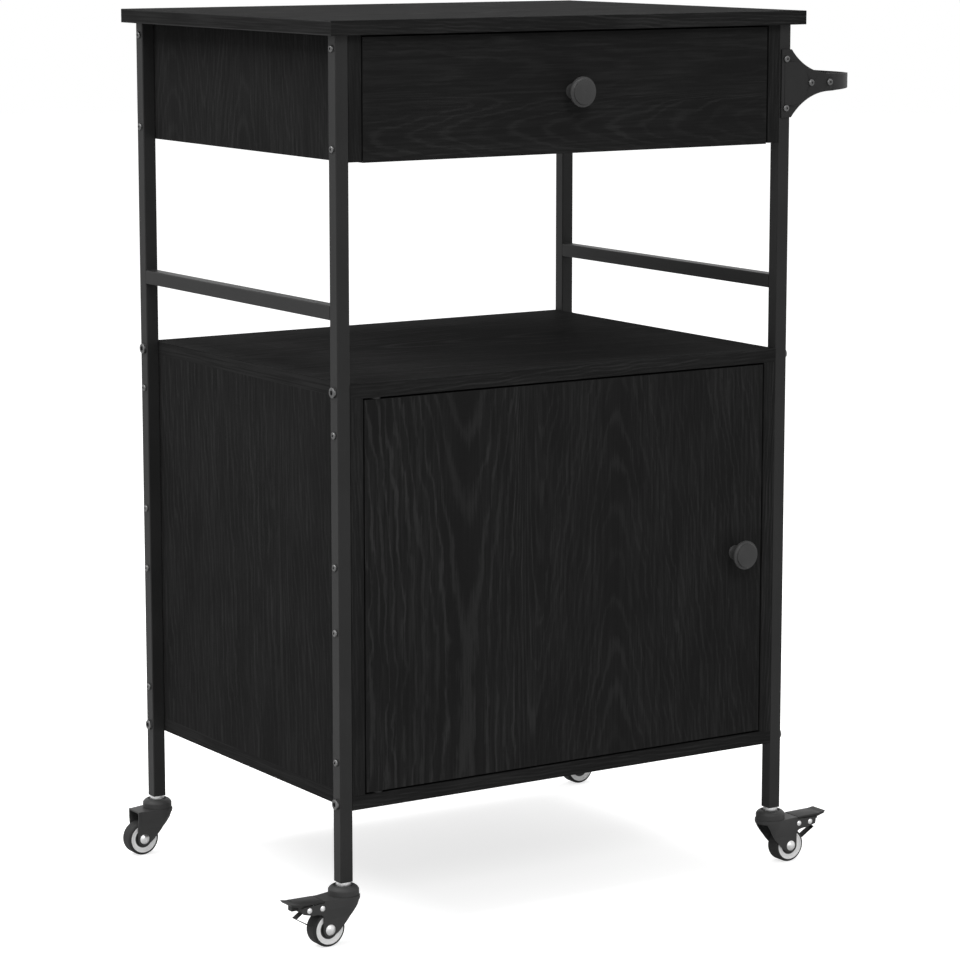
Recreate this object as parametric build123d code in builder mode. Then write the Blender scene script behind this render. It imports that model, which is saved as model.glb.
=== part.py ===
from build123d import *
from math import acos, atan2, cos, degrees, hypot, radians, sin
import os

os.makedirs("parts", exist_ok=True)

# All sizes are millimetres. X runs to the cart's right, Y to its back, Z up from the floor.

# Boards and square tubes
board_thickness = 15.0
board_rounding = 0.6
tube_size = 15.0
tube_wall = 1.2
tube_corner = 1.2

# Steel frame and the levels of the boards
frame_width = 576.0
frame_depth = 436.0
top_overhang = 12.0
caster_height = 66.0
bottom_board_rise = 76.0
cabinet_height = 418.0
rail_gap = 66.0
bay_height = 227.0
upper_box_height = 128.0

# Drawer front and door, both flush with the legs
front_gap = 2.0
drawer_front_drop = 1.0

# Drawer box
drawer_side_thickness = 12.0
drawer_side_height = 92.0
drawer_side_rise = 14.0
drawer_rear_clearance = 56.0
drawer_bottom_thickness = 3.0
drawer_bottom_inset = 8.0
drawer_groove_depth = 5.0
groove_clearance = 0.2

# Ball runners, one on each side of the drawer
runner_space = 12.7
runner_height = 35.0
runner_setback = 3.0
runner_end_gap = 1.0
runner_metal = 1.2
runner_flange = 10.5
inner_runner_height = 22.0
cage_metal = 0.8
cage_web_gap = 0.4
cage_to_inner_gap = 0.8
ball_clearance = 0.3
ball_pitch = 14.0
drawer_travel = 260.0
cage_end_margin = 3.0

# Knobs
knob_head_radius = 16.0
knob_head_thickness = 8.0
knob_head_rounding = 3.0
knob_base_radius = 8.0
knob_neck_radius = 6.5
knob_neck_length = 11.0
knob_flare = 1.5
knob_length = 23.5
knob_dome = 1.0
door_knob_inset = 36.0
knob_screw_depth = 12.0

# Pivot pins of the door
swing_clearance = 0.3
pivot_pin_radius = 2.5
pivot_pin_in_door = 12.0
pivot_pin_in_bush = 8.0
pivot_fit = 0.06
bush_radius = 4.5
bush_depth = 9.0
bush_flange_radius = 7.0
door_end_float = 0.3

# Magnetic catch of the door
catch_width = 42.0
catch_height = 13.0
catch_depth = 15.0
catch_inset = 30.0
catch_air_gap = 0.3
catch_groove_width = 21.0
catch_groove_height = 1.5
strike_width = 36.0
strike_height = 8.0
strike_thickness = 1.2

# Fasteners
screw_radius = 2.0
screw_bite = 11.0
screw_head_radius = 3.75
screw_head_height = 2.2
screw_head_rounding = 1.5
screw_socket_radius = 1.4
screw_socket_depth = 1.2
upper_screw_offset = 50.5
cabinet_screw_near = 34.5
cabinet_screw_far = 172.0
bolt_radius = 3.0
bolt_bite = 24.0
bolt_head_radius = 5.5
bolt_head_height = 3.0
bolt_head_rounding = 0.75
bolt_socket_radius = 2.9
bolt_socket_depth = 2.2
hole_clearance = 0.1
press_clearance = 0.02
blind_hole_gap = 0.3
dowel_radius = 4.0
dowel_in_top = 8.0
dowel_in_panel = 20.0
dowel_inset = 100.0

# Push handle on the right side
handle_reach = 112.0
handle_bar_height = 15.0
handle_bar_thickness = 3.0
handle_bar_setback = 18.0
handle_bend_start = 50.0
handle_gap = 0.1
bracket_thickness = 2.5
bracket_root_half = 37.0
bracket_arm_half = 9.7
bracket_arm_start = 53.8
bracket_length = 60.0
bracket_edge_inset = 1.5
bracket_screw_rise = 26.8
arm_screw_near = 27.0
arm_screw_far = 52.5
handle_screw_length = 8.0

# Wheels of the casters
caster_trail = 22.0
wheel_radius = 19.0
wheel_width = 17.6
rim_radius = 16.0
rim_groove_radius = 14.0
rim_flange = 2.0
rim_dish = 1.2
rim_boss_radius = 6.0
tyre_rounding = 2.4
tyre_bow_inset = 0.6
tyre_bow_drop = 1.0
axle_radius = 2.5
axle_cap_radius = 5.8
axle_cap_height = 2.8
running_fit = 0.06

# Forks of the casters
fork_metal = 1.5
shoulder_radius = 17.4
shoulder_low_z = 47.5
shoulder_z = 49.0
crown_z = 50.0
crown_front_z = 52.0
crown_edge_z = 50.6
crown_tail_z = 51.6
crown_bevel = 2.0
crown_front_trail = 11.0
cheek_top_half = 12.5
cheek_low_half = 10.9
cheek_front_radius = 16.0
flank_taper = 0.05
cheek_bend_high_z = 42.0
cheek_bend_low_z = 31.0
cheek_tail = 30.0
cheek_flank_trail = 26.0
throat_trail = 11.6
throat_bulge = 1.6
lug_radius = 8.0
lug_neck = 14.5
lug_rise = 1.5
cut_margin = 1.0

# Swivel bearings of the casters
cup_radius = 16.4
cup_top_z = 62.5
cup_shoulder_z = 58.0
cup_bow_inset = 2.2
cup_bow_drop = 1.6
cup_rim_radius = 11.0
cup_recess_radius = 9.8
cup_recess_z = 60.5
collar_radius = 8.0
bearing_gap = 0.3
kingpin_radius = 5.0
kingpin_head_radius = 8.0
kingpin_head_height = 3.0
kingpin_head_bevel = 1.0
stem_radius = 4.0
stem_length = 20.0
insert_length = 25.0
insert_fit = 0.1

# Wings that carry the brakes on the two front forks
wing_root_z = 34.0
wing_root_high_z = 49.5
wing_hollow_trail = 32.4
wing_hollow_z = 36.6
wing_flat_start = 38.0
wing_flat_end = 43.4
wing_low_z = 37.8
wing_end_low_z = 41.0
wing_end_high_z = 46.8
wing_end_slant = 0.8
wing_bevel = 1.3
wing_tail = 56.0
rivet_height = 44.0
fixed_rivet_trail = 32.2
rivet_radius = 1.5
rivet_head_radius = 3.0
rivet_head_height = 1.4

# Brake pedals and their leaf springs
pedal_pivot_trail = 47.9
pedal_root_high_z = 51.9
pedal_bend_trail = 63.0
pedal_bend_z = 52.4
pedal_tip = 70.0
pedal_tip_high_z = 53.6
pedal_tip_low_z = 50.9
pedal_tip_slant = 1.8
pedal_step_trail = 59.0
pedal_step_z = 48.8
pedal_low_z = 50.0
pedal_half = 12.4
pedal_tip_half = 11.6
pedal_side_gap = 0.5
pedal_end_gap = 0.8
pedal_lug_half_length = 5.0
pedal_lug_low_z = 40.0
pedal_rib_low_z = 43.8
pedal_rib_tail = 64.8
pedal_rib_half = 4.0
spring_metal = 1.2
spring_half = 4.0
spring_root_trail = 50.8
spring_elbow_trail = 58.7
spring_elbow_z = 34.6
shoe_angle = 17.0
shoe_gap = 2.4

# Levels worked out from the sizes above
bottom_low = caster_height + bottom_board_rise
bottom_top = bottom_low + board_thickness
shelf_low = bottom_top + cabinet_height
shelf_top = shelf_low + board_thickness
rail_low = shelf_top + rail_gap
panel_low = shelf_top + bay_height
top_low = panel_low + upper_box_height
handle_z = panel_low + upper_box_height / 2
cabinet_middle_z = bottom_top + cabinet_height / 2

# The frame stands so that the middle of the whole cart's box is over the origin
left_reach = max(pedal_tip - tube_size / 2, top_overhang)
right_reach = max(handle_reach, pedal_tip - tube_size / 2, top_overhang)
front_reach = max(knob_length + knob_dome, top_overhang)
left_x = (left_reach - frame_width - right_reach) / 2
right_x = left_x + frame_width
middle_x = left_x + frame_width / 2
front_y = (front_reach - frame_depth - top_overhang) / 2
back_y = front_y + frame_depth
middle_y = front_y + frame_depth / 2

# Faces that the boards, the drawer front and the door share
panel_half = frame_width / 2 - tube_size
inside_half = panel_half - board_thickness
back_board_y = back_y - board_thickness
front_back_y = front_y + board_thickness
front_half = inside_half - front_gap
drawer_low = panel_low - drawer_front_drop
drawer_high = top_low - front_gap
door_low = bottom_top + front_gap
door_high = shelf_low - front_gap

# Drawer box and its sliding bottom sheet
drawer_box_half = inside_half - runner_space
drawer_inner_half = drawer_box_half - drawer_side_thickness
drawer_box_back_y = back_board_y - drawer_rear_clearance
drawer_box_length = drawer_box_back_y - front_back_y
drawer_box_middle_y = (drawer_box_back_y + front_back_y) / 2
drawer_side_low = drawer_low + drawer_side_rise
drawer_bottom_low = drawer_side_low + drawer_bottom_inset
drawer_groove_low = drawer_bottom_low - groove_clearance / 2
drawer_groove_height = drawer_bottom_thickness + groove_clearance
sheet_in_groove = drawer_groove_depth - groove_clearance
sheet_half = drawer_inner_half + sheet_in_groove
sheet_front_y = front_back_y - sheet_in_groove
sheet_back_y = drawer_box_back_y - drawer_side_thickness + sheet_in_groove

# Ball runners
runner_front_y = front_back_y + runner_setback
runner_length = drawer_box_length - runner_setback - runner_end_gap
runner_z = drawer_side_low + drawer_side_height / 2
ball_space = runner_height / 2 - runner_metal - inner_runner_height / 2
ball_radius = ball_space / 2 - ball_clearance
cage_half = inner_runner_height / 2 + ball_space / 2 + cage_metal / 2
cage_near = runner_metal + cage_web_gap
cage_far = runner_flange - cage_web_gap
inner_runner_near = cage_near + cage_metal + cage_to_inner_gap
cage_length = runner_length - drawer_travel - 2 * cage_end_margin
cage_front_y = runner_front_y + drawer_travel / 2 + cage_end_margin

# Door pivots, far enough from the panel that the door's corners swing clear of it
swing_room = front_gap - swing_clearance
pivot_inset = ((board_thickness / 2) ** 2 - swing_room ** 2) / (2 * swing_room)
pivot_x = middle_x - front_half + pivot_inset
pivot_y = front_y + board_thickness / 2
bush_flange = front_gap - door_end_float
door_knob_x = middle_x + front_half - door_knob_inset
catch_x = middle_x + front_half - catch_inset - catch_width / 2
catch_z = shelf_low - catch_height / 2
catch_front_y = front_back_y + strike_thickness + catch_air_gap

# Push handle
bend_radius = handle_reach - handle_bend_start
bar_front_y = front_y + handle_gap

# Point of the brake spring that meets the tyre
shoe_reach = wheel_radius + shoe_gap
shoe_trail = caster_trail + shoe_reach * cos(radians(shoe_angle))
shoe_z = wheel_radius + shoe_reach * sin(radians(shoe_angle))

sides = (("left", -1), ("right", 1))
ends = (("front", -1), ("back", 1))
seated = (Align.CENTER, Align.CENTER, Align.MIN)


def save(piece, label):
    piece.part.label = label
    export_step(piece.part, f"parts/{label}.step")


def place(point, direction):
    return Plane(origin=point, z_dir=direction).location


def drill(places, radius, depth):
    # Round holes that start at each place and run along its direction.
    with Locations(*places):
        Cylinder(radius, depth, align=seated, mode=Mode.SUBTRACT)


def dome_middle(radius, height):
    # A point half way out on a shallow dome whose centre lies on its axis.
    ball = (radius ** 2 + height ** 2) / (2 * height)
    return radius / 2, height - ball + (ball ** 2 - radius ** 2 / 4) ** 0.5


def leg_centre(side, end):
    across = middle_x + side * (frame_width - tube_size) / 2
    along = middle_y + end * (frame_depth - tube_size) / 2
    return across, along


def panel_screw_levels():
    upper = [handle_z - upper_screw_offset, handle_z + upper_screw_offset]
    offsets = (-cabinet_screw_far, -cabinet_screw_near, cabinet_screw_near, cabinet_screw_far)
    return upper, [cabinet_middle_z + offset for offset in offsets]


def board_bolt_levels():
    return [bottom_low + board_thickness / 2, shelf_low + board_thickness / 2]


def side_places(side, end, levels, face_x, outward):
    # Places on a plane across X, at one leg's centre line, facing outward or inward.
    along = leg_centre(side, end)[1]
    return [place((face_x, along, level), (outward, 0, 0)) for level in levels]


# Fasteners, each with its head above the plane that it is placed on

def headed_fastener(radius, length, head_radius, head_height, rounding, socket_radius, socket_depth):
    with BuildPart() as fastener:
        with BuildSketch(Plane.XY.offset(-length)):
            Circle(radius)
        extrude(amount=length)
        with BuildSketch(Plane.XY):
            Circle(head_radius)
        extrude(amount=head_height)
        fillet(fastener.edges().group_by(Axis.Z)[-1], rounding)
        with BuildSketch(Plane.XY.offset(head_height)):
            RegularPolygon(socket_radius, 6)
        extrude(amount=-socket_depth, mode=Mode.SUBTRACT)
    return fastener.part


def round_head_screw(length):
    return headed_fastener(
        screw_radius, length, screw_head_radius, screw_head_height,
        screw_head_rounding, screw_socket_radius, screw_socket_depth,
    )


def make_screws(label, length, places):
    screw = round_head_screw(length)
    with BuildPart() as screws:
        with Locations(*places):
            add(screw)
    save(screws, label)


# Legs, rails and the plugs in the legs

def make_leg(side_name, side, end_name, end):
    across, along = leg_centre(side, end)
    outer_x = across + side * tube_size / 2
    upper, cabinet = panel_screw_levels()
    screw_hole = screw_radius + hole_clearance
    bolt_hole = bolt_radius + hole_clearance
    with BuildPart() as leg:
        with BuildSketch(Plane.XY.offset(caster_height)):
            with Locations((across, along)):
                RectangleRounded(tube_size, tube_size, tube_corner)
                Rectangle(tube_size - 2 * tube_wall, tube_size - 2 * tube_wall, mode=Mode.SUBTRACT)
        extrude(amount=top_low - caster_height)
        drill(side_places(side, end, upper + cabinet, outer_x, -side), screw_hole, tube_size)
        drill(side_places(side, end, board_bolt_levels(), outer_x, -side), bolt_hole, tube_size)
        if side > 0:
            outer_y = along + end * tube_size / 2
            levels = (handle_z - bracket_screw_rise, handle_z + bracket_screw_rise)
            places = [place((across, outer_y, level), (0, -end, 0)) for level in levels]
            drill(places, screw_hole, tube_size / 2)
    save(leg, f"leg_{end_name}_{side_name}")


def make_rail(side_name, side):
    across = leg_centre(side, 1)[0]
    length = frame_depth - 2 * tube_size
    with BuildPart() as rail:
        with BuildSketch(Plane.XZ.offset(-(middle_y + length / 2))):
            with Locations((across, rail_low + tube_size / 2)):
                RectangleRounded(tube_size, tube_size, tube_corner)
                Rectangle(tube_size - 2 * tube_wall, tube_size - 2 * tube_wall, mode=Mode.SUBTRACT)
        extrude(amount=length)
    save(rail, f"rail_{side_name}")


def make_leg_inserts():
    plug_size = tube_size - 2 * tube_wall - 2 * insert_fit
    centres = [leg_centre(side, end) for _, side in sides for _, end in ends]
    with BuildPart() as inserts:
        with BuildSketch(Plane.XY.offset(caster_height)):
            with Locations(*centres):
                Rectangle(plug_size, plug_size)
                Circle(stem_radius + hole_clearance, mode=Mode.SUBTRACT)
        extrude(amount=insert_length)
    save(inserts, "leg_inserts")


# Boards of the top, the upper box and the cabinet

def dowel_places():
    points = []
    for _, side in sides:
        for _, end in ends:
            along = middle_y + end * (frame_depth / 2 - dowel_inset)
            points.append((middle_x + side * (inside_half + board_thickness / 2), along))
    for _, side in sides:
        points.append((middle_x + side * (inside_half - dowel_inset), back_y - board_thickness / 2))
    return points


def drill_dowel_holes(points, level, direction, depth):
    places = [place((x, y, level), (0, 0, direction)) for x, y in points]
    drill(places, dowel_radius + hole_clearance, depth + blind_hole_gap)


def make_top_board():
    width = frame_width + 2 * top_overhang
    depth = frame_depth + 2 * top_overhang
    with BuildPart() as top:
        with BuildSketch(Plane.XY.offset(top_low)):
            with Locations((middle_x, middle_y)):
                Rectangle(width, depth)
        extrude(amount=board_thickness)
        fillet(top.edges().filter_by(GeomType.LINE), board_rounding)
        drill_dowel_holes(dowel_places(), top_low, 1, dowel_in_top)
    save(top, "top_board")


def make_cross_board(label, low_z, bush_face_z, bush_direction):
    # The mid shelf or the bottom board, held between the legs by bolts in its ends.
    level = low_z + board_thickness / 2
    with BuildPart() as cross_board:
        with BuildSketch(Plane.XY.offset(low_z)):
            with Locations((middle_x, middle_y)):
                Rectangle(2 * panel_half, frame_depth)
        extrude(amount=board_thickness)
        fillet(cross_board.edges().filter_by(Axis.X), board_rounding)
        for _, side in sides:
            for _, end in ends:
                places = side_places(side, end, [level], middle_x + side * panel_half, -side)
                drill(places, bolt_radius + hole_clearance, bolt_bite + blind_hole_gap)
        bush_place = place((pivot_x, pivot_y, bush_face_z), (0, 0, bush_direction))
        drill([bush_place], bush_radius + press_clearance, bush_depth + press_clearance)
    save(cross_board, label)


def make_side_panel(label, side, low_z, height, levels, dowelled):
    centre_x = middle_x + side * (inside_half + board_thickness / 2)
    with BuildPart() as panel:
        with BuildSketch(Plane.XY.offset(low_z)):
            with Locations((centre_x, middle_y)):
                Rectangle(board_thickness, frame_depth)
        extrude(amount=height)
        for _, end in ends:
            places = side_places(side, end, levels, middle_x + side * panel_half, -side)
            drill(places, screw_radius + hole_clearance, screw_bite + blind_hole_gap)
        if dowelled:
            points = [(x, y) for x, y in dowel_places() if (x - middle_x) * side > inside_half]
            drill_dowel_holes(points, low_z + height, -1, dowel_in_panel)
    save(panel, label)


def make_back_panel(label, low_z, height, dowelled):
    with BuildPart() as panel:
        with BuildSketch(Plane.XY.offset(low_z)):
            with Locations((middle_x, back_y - board_thickness / 2)):
                Rectangle(2 * inside_half, board_thickness)
        extrude(amount=height)
        if dowelled:
            points = [(x, y) for x, y in dowel_places() if abs(x - middle_x) < inside_half]
            drill_dowel_holes(points, low_z + height, -1, dowel_in_panel)
    save(panel, label)


def make_top_dowels():
    with BuildPart() as dowels:
        with BuildSketch(Plane.XY.offset(top_low - dowel_in_panel)):
            with Locations(*dowel_places()):
                Circle(dowel_radius)
        extrude(amount=dowel_in_panel + dowel_in_top)
    save(dowels, "top_dowels")


# Screws and bolts that hold the boards to the legs

def leg_fastener_places(levels):
    places = []
    for _, side in sides:
        for _, end in ends:
            places += side_places(side, end, levels, middle_x + side * frame_width / 2, side)
    return places


def make_panel_screws():
    upper, cabinet = panel_screw_levels()
    make_screws("panel_screws", tube_size + screw_bite, leg_fastener_places(upper + cabinet))


def make_board_bolts():
    bolt = headed_fastener(
        bolt_radius, tube_size + bolt_bite, bolt_head_radius, bolt_head_height,
        bolt_head_rounding, bolt_socket_radius, bolt_socket_depth,
    )
    with BuildPart() as bolts:
        with Locations(*leg_fastener_places(board_bolt_levels())):
            add(bolt)
    save(bolts, "board_bolts")


# Drawer box

def make_drawer_front():
    knob_hole = place((middle_x, front_back_y, handle_z), (0, -1, 0))
    groove_width = 2 * sheet_half + groove_clearance
    with BuildPart() as front:
        with BuildSketch(Plane.XZ.offset(-front_back_y)):
            with Locations((middle_x, (drawer_low + drawer_high) / 2)):
                Rectangle(2 * front_half, drawer_high - drawer_low)
        extrude(amount=board_thickness)
        fillet(front.edges().group_by(Axis.Y)[0], board_rounding)
        with BuildSketch(Plane.XY.offset(drawer_groove_low)):
            with Locations((middle_x, front_back_y)):
                Rectangle(groove_width, 2 * drawer_groove_depth)
        extrude(amount=drawer_groove_height, mode=Mode.SUBTRACT)
        drill([knob_hole], screw_radius + hole_clearance, board_thickness)
    save(front, "drawer_front")


def make_drawer_side(side_name, side):
    centre_x = middle_x + side * (drawer_box_half - drawer_side_thickness / 2)
    inner_x = middle_x + side * drawer_inner_half
    with BuildPart() as drawer_side:
        with BuildSketch(Plane.XY.offset(drawer_side_low)):
            with Locations((centre_x, drawer_box_middle_y)):
                Rectangle(drawer_side_thickness, drawer_box_length)
        extrude(amount=drawer_side_height)
        with BuildSketch(Plane.XY.offset(drawer_groove_low)):
            with Locations((inner_x, drawer_box_middle_y)):
                Rectangle(2 * drawer_groove_depth, drawer_box_length)
        extrude(amount=drawer_groove_height, mode=Mode.SUBTRACT)
    save(drawer_side, f"drawer_side_{side_name}")


def make_drawer_back():
    with BuildPart() as drawer_back:
        with BuildSketch(Plane.XY.offset(drawer_side_low)):
            with Locations((middle_x, drawer_box_back_y - drawer_side_thickness / 2)):
                Rectangle(2 * drawer_inner_half, drawer_side_thickness)
        extrude(amount=drawer_side_height)
        with BuildSketch(Plane.XY.offset(drawer_groove_low)):
            with Locations((middle_x, drawer_box_back_y - drawer_side_thickness)):
                Rectangle(2 * drawer_inner_half, 2 * drawer_groove_depth)
        extrude(amount=drawer_groove_height, mode=Mode.SUBTRACT)
    save(drawer_back, "drawer_back")


def make_drawer_bottom():
    with BuildPart() as sheet:
        with BuildSketch(Plane.XY.offset(drawer_bottom_low)):
            with Locations((middle_x, (sheet_front_y + sheet_back_y) / 2)):
                Rectangle(2 * sheet_half, sheet_back_y - sheet_front_y)
        extrude(amount=drawer_bottom_thickness)
    save(sheet, "drawer_bottom")


# Ball runners

def channel_walls(side, near, far, half_height, metal, open_far):
    # Web and two flanges of a C section, between two distances from the side panel.
    web = near + metal / 2 if open_far else far - metal / 2
    flange_x = middle_x + side * (inside_half - (near + far) / 2)
    flange_rise = half_height - metal / 2
    return [
        (middle_x + side * (inside_half - web), runner_z, metal, 2 * half_height),
        (flange_x, runner_z + flange_rise, far - near, metal),
        (flange_x, runner_z - flange_rise, far - near, metal),
    ]


def draw_channels(near, far, half_height, metal, open_far):
    for _, side in sides:
        for x, z, width, height in channel_walls(side, near, far, half_height, metal, open_far):
            with Locations((x, z)):
                Rectangle(width, height)


def make_channels(label, near, far, half_height, metal, open_far):
    with BuildPart() as channels:
        with BuildSketch(Plane.XZ.offset(-(runner_front_y + runner_length))):
            draw_channels(near, far, half_height, metal, open_far)
        extrude(amount=runner_length)
    save(channels, label)


def ball_centres():
    track = (cage_near + cage_metal + cage_far) / 2
    rise = cage_half - cage_metal / 2
    count = int((cage_length - ball_pitch / 2) / ball_pitch)
    first_y = cage_front_y + (cage_length - (count - 1) * ball_pitch) / 2
    centres = []
    for _, side in sides:
        for level in (-1, 1):
            for index in range(count):
                x = middle_x + side * (inside_half - track)
                centres.append((x, first_y + index * ball_pitch, runner_z + level * rise))
    return centres


def make_ball_cages():
    with BuildPart() as cages:
        with BuildSketch(Plane.XZ.offset(-(cage_front_y + cage_length))):
            draw_channels(cage_near, cage_far, cage_half, cage_metal, True)
        extrude(amount=cage_length)
        with Locations(*ball_centres()):
            Sphere(ball_radius)
    save(cages, "ball_cages")


# Knobs, each turned about an axis along Y

def make_knob(label, x, z):
    head_back = knob_length - knob_head_thickness
    face_radius = knob_head_radius - knob_head_rounding
    rim_back = (knob_head_radius, -head_back - knob_head_rounding)
    rim_front = (knob_head_radius, knob_head_rounding - knob_length)
    middle_radius, middle_rise = dome_middle(face_radius, knob_dome)
    with BuildPart() as knob:
        with BuildSketch(Plane(origin=(x, front_y, z), x_dir=(1, 0, 0), z_dir=(0, 0, 1))):
            with BuildLine():
                foot = Line((0, 0), (knob_base_radius, 0))
                neck = Spline(
                    foot @ 1, (knob_neck_radius, -knob_neck_length / 2),
                    (knob_neck_radius + knob_flare, -knob_neck_length),
                )
                rear = Line(neck @ 1, (face_radius, -head_back))
                RadiusArc(rear @ 1, rim_back, -knob_head_rounding)
                Line(rim_back, rim_front)
                RadiusArc(rim_front, (face_radius, -knob_length), -knob_head_rounding)
                dome = ThreePointArc(
                    (face_radius, -knob_length), (middle_radius, -knob_length - middle_rise),
                    (0, -knob_length - knob_dome),
                )
                Line(dome @ 1, foot @ 0)
            make_face()
        revolve(axis=Axis((x, front_y, z), (0, 1, 0)))
        screw_hole = place((x, front_y, z), (0, -1, 0))
        drill([screw_hole], screw_radius + hole_clearance, knob_screw_depth + blind_hole_gap)
    save(knob, label)


def make_knob_screw(label, x, z):
    head_place = place((x, front_back_y, z), (0, 1, 0))
    make_screws(label, board_thickness + knob_screw_depth, [head_place])


# Door with its pivots and catch

def make_door():
    pin_places = [
        place((pivot_x, pivot_y, door_low), (0, 0, 1)), place((pivot_x, pivot_y, door_high), (0, 0, -1)),
    ]
    knob_hole = place((door_knob_x, front_back_y, cabinet_middle_z), (0, -1, 0))
    with BuildPart() as door:
        with BuildSketch(Plane.XZ.offset(-front_back_y)):
            with Locations((middle_x, cabinet_middle_z)):
                Rectangle(2 * front_half, door_high - door_low)
        extrude(amount=board_thickness)
        fillet(door.edges().group_by(Axis.Y)[0], board_rounding)
        drill(pin_places, pivot_pin_radius + press_clearance, pivot_pin_in_door)
        drill([knob_hole], screw_radius + hole_clearance, board_thickness)
    save(door, "door")


def make_pivot_pins():
    outside = front_gap + pivot_pin_in_bush
    with BuildPart() as pins:
        for low_z in (door_low - outside, door_high - pivot_pin_in_door):
            with BuildSketch(Plane.XY.offset(low_z)):
                with Locations((pivot_x, pivot_y)):
                    Circle(pivot_pin_radius)
            extrude(amount=pivot_pin_in_door + outside)
    save(pins, "pivot_pins")


def make_pivot_bushes():
    with BuildPart() as bushes:
        for face_z, inward in ((bottom_top, -1), (shelf_low, 1)):
            with Locations(place((pivot_x, pivot_y, face_z), (0, 0, inward))):
                Cylinder(bush_radius, bush_depth, align=seated)
            with Locations(place((pivot_x, pivot_y, face_z), (0, 0, -inward))):
                Cylinder(bush_flange_radius, bush_flange, align=seated)
            bore = place((pivot_x, pivot_y, face_z - inward * bush_flange), (0, 0, inward))
            drill([bore], pivot_pin_radius + pivot_fit, bush_flange + bush_depth)
    save(bushes, "pivot_bushes")


def make_magnet_catch():
    with BuildPart() as catch:
        with BuildSketch(Plane.XY.offset(shelf_low - catch_height)):
            with Locations((catch_x, catch_front_y + catch_depth / 2)):
                Rectangle(catch_width, catch_depth)
        extrude(amount=catch_height)
        fillet(catch.edges().filter_by(Axis.Y), board_rounding)
        with BuildSketch(Plane.XZ.offset(-catch_front_y)):
            with Locations((catch_x, catch_z)):
                Rectangle(catch_groove_width, catch_groove_height)
        extrude(amount=-catch_air_gap, mode=Mode.SUBTRACT)
    save(catch, "magnet_catch")


def make_catch_plate():
    with BuildPart() as strike:
        with BuildSketch(Plane.XZ.offset(-front_back_y)):
            with Locations((catch_x, catch_z)):
                RectangleRounded(strike_width, strike_height, board_rounding)
        extrude(amount=-strike_thickness)
    save(strike, "catch_plate")


# Push handle: a bent flat bar on two gusset brackets

def handle_profile(start):
    # Upper edge of the handle seen from the front: a hollow curve, then a straight taper to the bar.
    drop = bracket_root_half - bracket_arm_half
    arc_radius = (bracket_arm_start ** 2 + drop ** 2) / (2 * drop)
    half_way = bracket_arm_start / 2
    half_rise = bracket_arm_half + arc_radius - (arc_radius ** 2 - half_way ** 2) ** 0.5
    return [
        (start, bracket_root_half), (0, bracket_root_half), (half_way, half_rise),
        (bracket_arm_start, bracket_arm_half), (handle_reach, handle_bar_height / 2),
    ]


def draw_handle_profile(start):
    upper = [(right_x + x, handle_z + z) for x, z in handle_profile(start)]
    lower = [(x, 2 * handle_z - z) for x, z in upper]
    Line(upper[0], upper[1])
    ThreePointArc(upper[1], upper[2], upper[3])
    Polyline(upper[3], upper[4], lower[4], lower[3])
    ThreePointArc(lower[3], lower[2], lower[1])
    Polyline(lower[1], lower[0], upper[0])


def handle_silhouette(start):
    with BuildSketch(Plane.XZ.offset(-middle_y - frame_depth)) as silhouette:
        with BuildLine():
            draw_handle_profile(start)
        make_face()
    return silhouette.sketch


def leg_screw_points():
    across = right_x - tube_size / 2
    return [(across, handle_z - bracket_screw_rise), (across, handle_z + bracket_screw_rise)]


def arm_screw_points():
    return [(right_x + arm_screw_near, handle_z), (right_x + arm_screw_far, handle_z)]


def make_handle_brackets():
    start = bracket_edge_inset - tube_size
    start_x = right_x + start
    outer_y = front_y - bracket_thickness
    inner = bend_radius + handle_gap
    turn = degrees((bracket_length - handle_bend_start) / inner)
    centre = (right_x + handle_bend_start, front_y + inner)
    points = leg_screw_points() + arm_screw_points()
    silhouette = handle_silhouette(start)
    with BuildPart() as brackets:
        with BuildSketch(Plane.XY.offset(handle_z - bracket_root_half)):
            with BuildLine():
                flat = Line((start_x, outer_y), (centre[0], outer_y))
                outer_bend = CenterArc(centre, inner + bracket_thickness, -90, turn)
                inner_bend = CenterArc(centre, inner, -90, turn)
                Line(outer_bend @ 1, inner_bend @ 1)
                Polyline(inner_bend @ 0, (start_x, front_y), flat @ 0)
            make_face()
        extrude(amount=2 * bracket_root_half)
        extrude(silhouette, amount=2 * frame_depth, mode=Mode.INTERSECT)
        places = [place((x, outer_y, z), (0, 1, 0)) for x, z in points]
        drill(places, screw_radius + hole_clearance, 2 * bracket_thickness)
        mirror(about=Plane.XZ.offset(-middle_y))
    save(brackets, "handle_brackets")


def make_handle_bar():
    start_x = right_x + handle_bar_setback
    far_x = right_x + handle_reach
    inner_y = bar_front_y + handle_bar_thickness
    centre = (right_x + handle_bend_start, bar_front_y + bend_radius)
    grip_end = [(far_x, middle_y), (far_x - handle_bar_thickness, middle_y)]
    silhouette = handle_silhouette(-tube_size)
    with BuildPart() as bar:
        with BuildSketch(Plane.XY.offset(handle_z - bracket_arm_half)):
            with BuildLine():
                arm = Line((start_x, bar_front_y), (centre[0], bar_front_y))
                outer_bend = CenterArc(centre, bend_radius, -90, 90)
                inner_bend = CenterArc(centre, bend_radius - handle_bar_thickness, -90, 90)
                Polyline(outer_bend @ 1, *grip_end, inner_bend @ 1)
                Polyline(inner_bend @ 0, (start_x, inner_y), arm @ 0)
            make_face()
        extrude(amount=2 * bracket_arm_half)
        extrude(silhouette, amount=2 * frame_depth, mode=Mode.INTERSECT)
        places = [place((x, bar_front_y, z), (0, 1, 0)) for x, z in arm_screw_points()]
        drill(places, screw_radius + hole_clearance, 2 * handle_bar_thickness)
        mirror(about=Plane.XZ.offset(-middle_y))
    save(bar, "handle_bar")


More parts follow.
